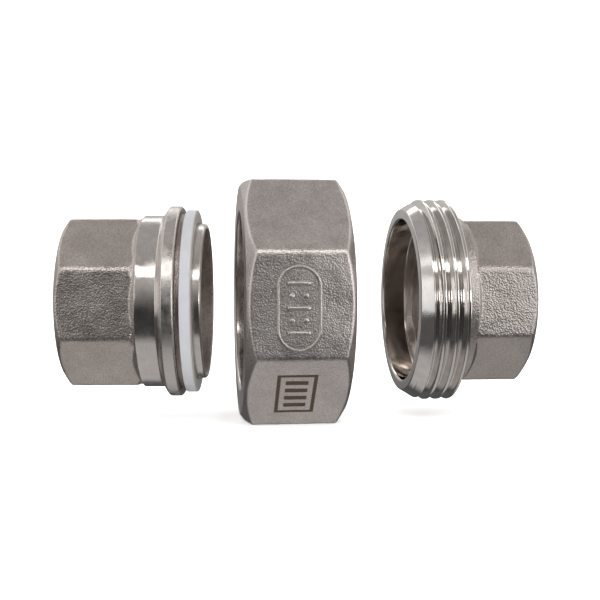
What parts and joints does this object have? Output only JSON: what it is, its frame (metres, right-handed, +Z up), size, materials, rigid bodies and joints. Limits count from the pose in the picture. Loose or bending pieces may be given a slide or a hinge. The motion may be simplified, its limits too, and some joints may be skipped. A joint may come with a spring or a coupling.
{
  "type": "pipe union",
  "caption": "Flat-seat pipe union shown taken apart: tailpiece with seal ring, octagonal union nut, and threaded end.",
  "frame": {"origin": "middle of the flat of the union nut that the part stands on", "axes": "+X along the axis of the nut and the threaded end, from the nut's lip towards its thread; +Z up from the flat it stands on; +Y away from the front"},
  "size_m": [0.0782, 0.0407, 0.0405],
  "materials": {
    "cast_stainless": "investment-cast stainless steel, fine grain, blasted and pickled to a warm grey, machined bright on its turned faces",
    "machined_stainless": "turned bright stainless steel on the thread and seat, cast grey on the wrench flats",
    "white_ptfe": "smooth white PTFE, slightly waxy"
  },
  "bodies": {
    "tail_body": {"tailpiece": "cast_stainless"},
    "ring_body": {"seal_ring": "white_ptfe"},
    "nut_body": {"union_nut": "cast_stainless"},
    "end_body": {"threaded_end": "machined_stainless"}
  },
  "joints": [
    {"name": "ring_slide", "type": "slide", "parent": "tail_body", "child": "ring_body", "axis": [0.9945, -0.1045, 0], "range_m": [0, 0.0033]},
    {"name": "nut_turn", "type": "hinge", "parent": "tail_body", "child": "nut_body", "pos_m": [0, 0, 0.02025], "axis": [1, 0, 0], "range_deg": [0, 3690]},
    {"name": "end_screw_in", "type": "slide", "parent": "tail_body", "child": "end_body", "axis": [-1, 0, 0], "range_m": [0, 0.0205]}
  ],
  "couplings": [
    {"joint": "end_screw_in", "follows": "nut_turn", "m_per_rad": 0.00031831}
  ]
}
